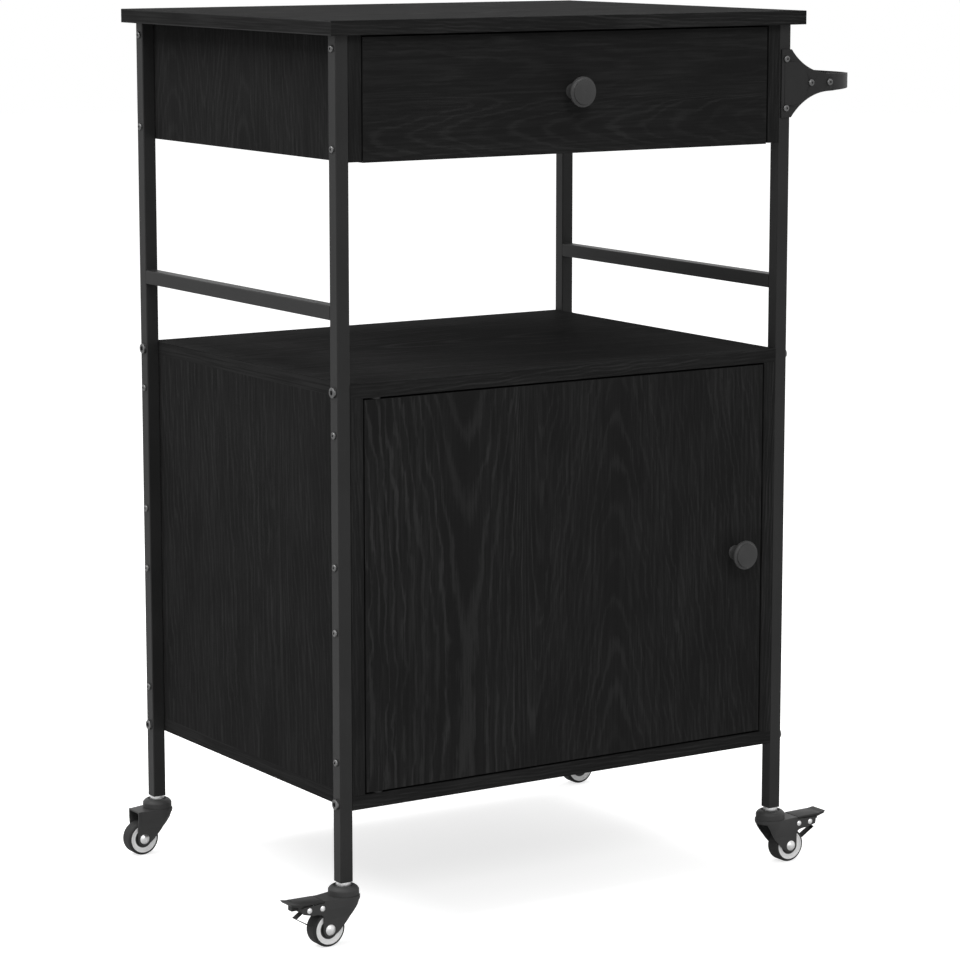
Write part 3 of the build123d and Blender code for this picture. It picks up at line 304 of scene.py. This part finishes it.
# Skins shared by the finishes below: a noise is its count per metre, detail and roughness, Tone, Matt and
# Relief say how much of it goes into colour, roughness and relief, and depth is in metres.
coatSkin = {
    "peel": (900.0, 2.0, 0.5), "grain": (2600.0, 1.0, 0.5), "patch": (14.0, 3.0, 0.55),
    "patchTone": 0.6, "grainTone": 0.4, "toneRange": (0.3, 0.7), "patchMatt": 0.12, "peelMatt": 0.10,
    "peelRelief": 0.8, "grainRelief": 0.3, "depth": 0.00004, "strength": 0.6,
}
steelSkin = {
    "lineAcross": 700.0, "lineAlong": 12.0, "cloud": (60.0, 3.0, 0.6), "lineTone": 0.5, "cloudTone": 0.5,
    "toneRange": (0.25, 0.75), "cloudMatt": 0.16, "lineMatt": 0.10, "depth": 0.00002, "strength": 0.5,
}
mouldSkin = {
    "grainDetail": 2.0, "grainRough": 0.6, "cloud": (45.0, 2.0, 0.5), "cloudTone": 0.7, "grainTone": 0.3,
    "toneRange": (0.3, 0.7), "grainMatt": 0.14, "cloudMatt": 0.08, "depth": 0.00003, "strength": 0.5,
}

# Powder coat and lacquer: low and high are the two tones of its patches.
coatLook = {"low": grey(0.0120), "high": grey(0.0170), "specular": 0.22, "roughness": 0.46}
casterLook = {"low": grey(0.0350), "high": grey(0.0460), "specular": 0.20, "roughness": 0.50}


def powderCoat(name, look, skin):
    # Satin black powder coat: a fine orange peel with slow patches of tone, both as weighted sums of noises.
    material, start, shader = newMaterial(name, {"Specular IOR Level": look["specular"]})
    place = objectPlace(start)
    peel, grain, patch = (start.noise(place, *skin[kind]) for kind in ("peel", "grain", "patch"))
    tone = (patch * skin["patchTone"] + grain * skin["grainTone"]).eased(*skin["toneRange"])
    relief = peel * skin["peelRelief"] + grain * skin["grainRelief"]
    matt = look["roughness"] + (patch - 0.5) * skin["patchMatt"] + (peel - 0.5) * skin["peelMatt"]
    feed(shader, baseColor=tone.blend(look["low"], look["high"]), roughness=matt,
         normal=bump(relief, skin["depth"], skin["strength"]))
    return material


steelCoat = powderCoat("black powder coat", coatLook, coatSkin)
assign(steelCoat, "rail_left", "rail_right", "handle_brackets", "handle_bar", *("leg_" + c for c in corners))
assign(powderCoat("caster lacquer", casterLook, coatSkin), *("fork_" + c for c in corners))

# Plated and blackened steel.
steelLooks = {
    "black zinc": {
        "dark": grey(0.11), "light": grey(0.19), "roughness": 0.38, "specular": 0.5, "metallic": 1.0,
        "nodes": ("panel_screws", "board_bolts", "handle_screws", "drawer_knob_screw", "door_knob_screw",
                  "pivot_pins")},
    "bright zinc": {
        "dark": grey(0.70), "light": grey(0.86), "roughness": 0.38, "specular": 0.5, "metallic": 1.0,
        "nodes": ("caster_stems", "runners_outer", "runners_inner", "ball_cages", "catch_plate",
                  *("caster_pins_" + c for c in corners))},
    "blackened spring steel": {
        "dark": grey(0.010), "light": grey(0.016), "roughness": 0.50, "specular": 0.2, "metallic": 0.0,
        "nodes": ("brake_spring_front_left", "brake_spring_front_right")},
}


def sheetSteel(name, look, skin):
    # Fine lines drawn out along Z over cloudy plating: the tone is a weighted sum of the two noises.
    sockets = {"Metallic": look["metallic"], "Specular IOR Level": look["specular"]}
    material, start, shader = newMaterial(name, sockets)
    place = objectPlace(start)
    x, y, z = place.parts()
    lines = start.noise(start.vector(x * skin["lineAcross"], y * skin["lineAcross"], z * skin["lineAlong"]))
    cloud = start.noise(place, *skin["cloud"])
    tone = (lines * skin["lineTone"] + cloud * skin["cloudTone"]).eased(*skin["toneRange"])
    matt = look["roughness"] + (cloud - 0.5) * skin["cloudMatt"] + (lines - 0.5) * skin["lineMatt"]
    feed(shader, baseColor=tone.blend(look["dark"], look["light"]), roughness=matt,
         normal=bump(lines, skin["depth"], skin["strength"]))
    return material


for steelName, look in steelLooks.items():
    assign(sheetSteel(steelName, look, steelSkin), *look["nodes"])

# Moulded and coated pieces; pitch is the count of grains per metre.
skinLooks = {
    "pedal plastic": {
        "dark": grey(0.020), "light": grey(0.028), "roughness": 0.46, "specular": 0.18, "pitch": 1300.0,
        "nodes": ("brake_pedal_front_left", "brake_pedal_front_right")},
    "graphite knob": {
        "dark": grey(0.029), "light": grey(0.040), "roughness": 0.48, "specular": 0.30, "pitch": 1200.0,
        "nodes": ("drawer_knob", "door_knob")},
    "dark nylon": {
        "dark": grey(0.012), "light": grey(0.020), "roughness": 0.50, "specular": 0.20, "pitch": 1100.0,
        "nodes": ("leg_inserts", "pivot_bushes", "magnet_catch")},
    "drawer foil": {
        "dark": grey(0.016), "light": grey(0.024), "roughness": 0.55, "specular": 0.15, "pitch": 500.0,
        "nodes": ("drawer_side_left", "drawer_side_right", "drawer_back")},
    "black hardboard": {
        "dark": grey(0.014), "light": grey(0.026), "roughness": 0.66, "specular": 0.12, "pitch": 350.0,
        "nodes": ("drawer_bottom",)},
    "beech dowel": {
        "dark": (0.42, 0.28, 0.16), "light": (0.52, 0.36, 0.22), "roughness": 0.60, "specular": 0.30,
        "pitch": 260.0, "nodes": ("top_dowels",)},
}


def mouldedSkin(name, look, skin):
    # Fine even grain and faint flow clouds: tone and roughness are weighted sums of the two noises.
    material, start, shader = newMaterial(name, {"Specular IOR Level": look["specular"]})
    place = objectPlace(start)
    grain = start.noise(place, look["pitch"], skin["grainDetail"], skin["grainRough"])
    cloud = start.noise(place, *skin["cloud"])
    tone = (cloud * skin["cloudTone"] + grain * skin["grainTone"]).eased(*skin["toneRange"])
    matt = look["roughness"] + (grain - 0.5) * skin["grainMatt"] + (cloud - 0.5) * skin["cloudMatt"]
    feed(shader, baseColor=tone.blend(look["dark"], look["light"]), roughness=matt,
         normal=bump(grain, skin["depth"], skin["strength"]))
    return material


for skinName, look in skinLooks.items():
    assign(mouldedSkin(skinName, look, mouldSkin), *look["nodes"])

# Grey tyre rubber with paler specks.
rubberLook = {
    "dark": grey(0.020), "light": grey(0.050), "specular": 0.25, "roughness": 0.70,
    "cloud": (120.0, 2.0, 0.5), "speck": (1100.0, 2.0, 0.6), "speckRange": (0.60, 0.72),
    "cloudTone": 0.5, "speckTone": 0.8, "toneRange": (0.15, 1.0), "cloudMatt": 0.15,
    "depth": 0.00005, "strength": 0.6,
}


def speckledRubber(name, look):
    # Base grey plus a speck wherever fine noise peaks: noise eased to 1 over the speck range.
    material, start, shader = newMaterial(name, {"Specular IOR Level": look["specular"]})
    place = objectPlace(start)
    cloud = start.noise(place, *look["cloud"])
    specks = start.noise(place, *look["speck"]).eased(*look["speckRange"])
    tone = (cloud * look["cloudTone"] + specks * look["speckTone"]).eased(*look["toneRange"])
    feed(shader, baseColor=tone.blend(look["dark"], look["light"]),
         roughness=look["roughness"] + (cloud - 0.5) * look["cloudMatt"],
         normal=bump(specks, look["depth"], look["strength"]))
    return material


assign(speckledRubber("grey rubber", rubberLook), *("tyre_" + c for c in corners))

# Wheel rims: white nylon with a dark hub. Trail is how far the axle lies outside its leg's middle, height
# its height over the floor, and hub the radius of the dark part, with a fuzzy rim.
rimLook = {
    "dark": grey(0.016), "light": grey(0.84), "specular": 0.35, "roughness": 0.42,
    "trail": 0.022, "height": 0.019, "hub": 0.0105, "fuzz": 0.0006, "blur": 0.0003,
    "grain": (900.0, 2.0, 0.6), "grainTone": 0.1, "toneLeast": 0.9,
}


def twoToneRim(corner, look, skin):
    # Dark where the distance from the axle, a root of the sum of two squares, is under the hub's radius.
    sockets = {"Specular IOR Level": look["specular"]}
    material, start, shader = newMaterial("nylon wheel " + corner.replace("_", " "), sockets)
    place = objectPlace(start)
    x, _, z = place.parts()
    legLow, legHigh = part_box("leg_" + corner)
    toward = -1.0 if "left" in corner else 1.0
    axleX = (legLow[0] + legHigh[0]) / 2 + toward * look["trail"]
    awayX, awayZ = x - axleX, z - look["height"]
    reach = (awayX * awayX + awayZ * awayZ) ** 0.5
    grain = start.noise(place, *look["grain"])
    fuzzy = reach + (grain - 0.5) * look["fuzz"]
    white = fuzzy.eased(look["hub"] - look["blur"], look["hub"] + look["blur"])
    tone = white * (grain * look["grainTone"] + look["toneLeast"])
    feed(shader, baseColor=tone.blend(look["dark"], look["light"]),
         roughness=look["roughness"] + (grain - 0.5) * skin["grainMatt"],
         normal=bump(grain, skin["depth"], skin["strength"]))
    return material


for corner in corners:
    assign(twoToneRim(corner, rimLook, mouldSkin), "rim_" + corner)
print("finishes made:", len(bpy.data.materials), "materials")

# Weld beads in the corners where the side rails meet the legs, above and below.
weldLook = {"length": 0.0125, "radius": 0.0011, "ripple": 0.10, "pitch": 0.0013, "rings": 57, "around": 14}


def beadRings(look, corner):
    # A bead along X: radius shrinks to a point at both ends as the root of one less the fourth power of the
    # way from the middle, times a ripple that is a sine of the way over the pitch.
    way = np.linspace(-1.0, 1.0, look["rings"])
    turn = np.linspace(0.0, 2.0 * math.pi, look["around"], endpoint=False)
    taper = np.sqrt(1.0 - way ** 4)
    ripple = 1.0 + look["ripple"] * np.sin(math.pi * way * look["length"] / look["pitch"])
    radius = (look["radius"] * taper * ripple)[:, None]
    x = np.broadcast_to(corner[0] + way[:, None] * look["length"] / 2, (look["rings"], look["around"]))
    return np.stack([x, corner[1] + radius * np.cos(turn), corner[2] + radius * np.sin(turn)], axis=-1)


def closedTube(rings, first):
    # Vertices and faces of a tube whose end rings are points: quads between rings, fans at the poles.
    count, around = rings.shape[0] - 2, rings.shape[1]
    points = np.concatenate([rings[:1, 0], rings[1:-1].reshape(-1, 3), rings[-1:, 0]])
    ids = first + 1 + np.arange(count * around).reshape(count, around)
    beside = np.roll(ids, -1, axis=1)
    quads = np.stack([ids[:-1], beside[:-1], beside[1:], ids[1:]], axis=-1).reshape(-1, 4)
    low = np.stack([np.full(around, first), beside[0], ids[0]], axis=-1)
    high = np.stack([np.full(around, first + 1 + count * around), ids[-1], beside[-1]], axis=-1)
    return points, quads.tolist() + low.tolist() + high.tolist()


def makeWeldBeads(look):
    points, faces = [], []
    for rail in ("rail_left", "rail_right"):
        low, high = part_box(rail)
        for y in (low[1], high[1]):
            for z in (low[2], high[2]):
                rings = beadRings(look, ((low[0] + high[0]) / 2, y, z))
                spots, patches = closedTube(rings, sum(len(part) for part in points))
                points.append(spots)
                faces += patches
    mesh = bpy.data.meshes.new("weld beads")
    mesh.from_pydata(np.concatenate(points).tolist(), [], faces)
    mesh.polygons.foreach_set("use_smooth", [True] * len(mesh.polygons))
    mesh.materials.append(steelCoat)
    beads = bpy.data.objects.new("weld_beads", mesh)
    scene.collection.objects.link(beads)
    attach(beads, "cart_frame")


makeWeldBeads(weldLook)
print("weld beads made")

# Softened arrises: width in metres of the bevel on each group of pieces, and what all groups share.
arrisWidths = [
    (0.0005, ("upper_side_left", "upper_side_right", "upper_back", "cabinet_side_left", "cabinet_side_right",
              "cabinet_back")),
    (0.0004, ("handle_brackets", "brake_pedal_front_left", "brake_pedal_front_right")),
]
arrisLook = {"weldDistance": 0.00001, "segments": 2, "leastAngle": 40.0}


def softenArris(name, width, look):  # welds the imported mesh's split corners, then bevels its sharp edges
    weld = nodes[name].modifiers.new("weld", "WELD")
    weld.merge_threshold = look["weldDistance"]
    bevel = nodes[name].modifiers.new("arris", "BEVEL")
    bevel.width, bevel.segments, bevel.limit_method = width, look["segments"], "ANGLE"
    bevel.angle_limit = math.radians(look["leastAngle"])


for width, names in arrisWidths:
    for name in names:
        softenArris(name, width, arrisLook)
print("arrises softened")

studio = {
    "ambient": 0.66, "floorTone": 0.62, "floorGlow": 0.70,
    "floorRadius": 14.0, "floorPoints": 96, "floorLevel": -0.0004, "floorRoughness": 0.9,
    "key": {"place": (-1.1, -3.6, 3.0), "size": 1.2, "power": 42.0},
    "top": {"place": (0.5, 0.5, 3.7), "size": 2.0, "power": 58.0},
    "left": {"place": (-2.6, 0.2, 3.6), "size": 2.2, "power": 106.0},
    "aim": (0.0, 0.0, 0.55),
}


def seenDirectly(start):  # 1 for camera, glossy and transmission rays
    rays = [start.node("ShaderNodeLightPath", output=name)
            for name in ("Is Camera Ray", "Is Glossy Ray", "Is Transmission Ray")]
    return rays[0].larger(rays[1]).larger(rays[2])


def makeWorld(look):
    world = bpy.data.worlds.new("studio")
    scene.world = world
    world.use_nodes = True
    start = Signal(world.node_tree)
    background = world.node_tree.nodes["Background"]
    background.inputs["Color"].default_value = (1.0, 1.0, 1.0, 1.0)
    strength = look["ambient"] + seenDirectly(start) * (1.0 - look["ambient"])
    world.node_tree.links.new(strength.socket, background.inputs["Strength"])


def makeFloor(look):
    # A round sheet: radius times the cosine and sine of the turn, at the floor's level.
    count = look["floorPoints"]
    turn = np.linspace(0.0, 2.0 * math.pi, count, endpoint=False)
    edge = (look["floorRadius"] * np.cos(turn), look["floorRadius"] * np.sin(turn))
    points = np.column_stack([*edge, np.full(count, look["floorLevel"])])
    mesh = bpy.data.meshes.new("floor")
    mesh.from_pydata(points.tolist(), [], [list(range(count))])
    floor = bpy.data.objects.new("floor", mesh)
    scene.collection.objects.link(floor)
    material, start, shader = newMaterial("studio floor", {
        "Base Color": (*grey(look["floorTone"]), 1.0), "Roughness": look["floorRoughness"],
        "Specular IOR Level": 0.0, "Emission Strength": 1.0})
    glow = start.node("ShaderNodeLightPath", output="Is Camera Ray") * look["floorGlow"]
    colour = start.node("ShaderNodeCombineColor", {}, {0: glow, 1: glow, 2: glow})
    start.tree.links.new(colour.socket, shader.inputs["Emission Color"])
    mesh.materials.append(material)


def makeLamp(name, look, aim):
    lamp = bpy.data.lights.new(name, "AREA")
    lamp.shape, lamp.size, lamp.energy = "SQUARE", look["size"], look["power"]
    holder = bpy.data.objects.new(name, lamp)
    holder.location = look["place"]
    holder.rotation_euler = (Vector(aim) - Vector(look["place"])).to_track_quat("-Z", "Y").to_euler()
    scene.collection.objects.link(holder)


# The camera's place counts from the middle of the boards, and its focal length in pixels of the picture.
cameraFit = {
    "place": (-2.05855, -3.2350, 1.0805), "yaw": 32.731, "pitch": 9.523,
    "focalPixels": 3467.7, "pictureWidth": 960, "sensorWidth": 36.0, "clipStart": 0.05, "clipEnd": 60.0,
}


def makeCamera(fit):
    camera = bpy.data.cameras.new("camera")
    camera.sensor_width = fit["sensorWidth"]
    camera.lens = fit["focalPixels"] / fit["pictureWidth"] * fit["sensorWidth"]
    camera.clip_start, camera.clip_end = fit["clipStart"], fit["clipEnd"]
    holder = bpy.data.objects.new("camera", camera)
    holder.location = (fit["place"][0] + cartMiddle, fit["place"][1], fit["place"][2])
    holder.rotation_euler = (math.radians(90 - fit["pitch"]), 0.0, -math.radians(fit["yaw"]))
    scene.collection.objects.link(holder)
    scene.camera = holder


makeWorld(studio)
makeFloor(studio)
for lampName in ("key", "top", "left"):
    makeLamp(lampName, studio[lampName], studio["aim"])
makeCamera(cameraFit)
scene.view_settings.view_transform = "Standard"
print("studio made")
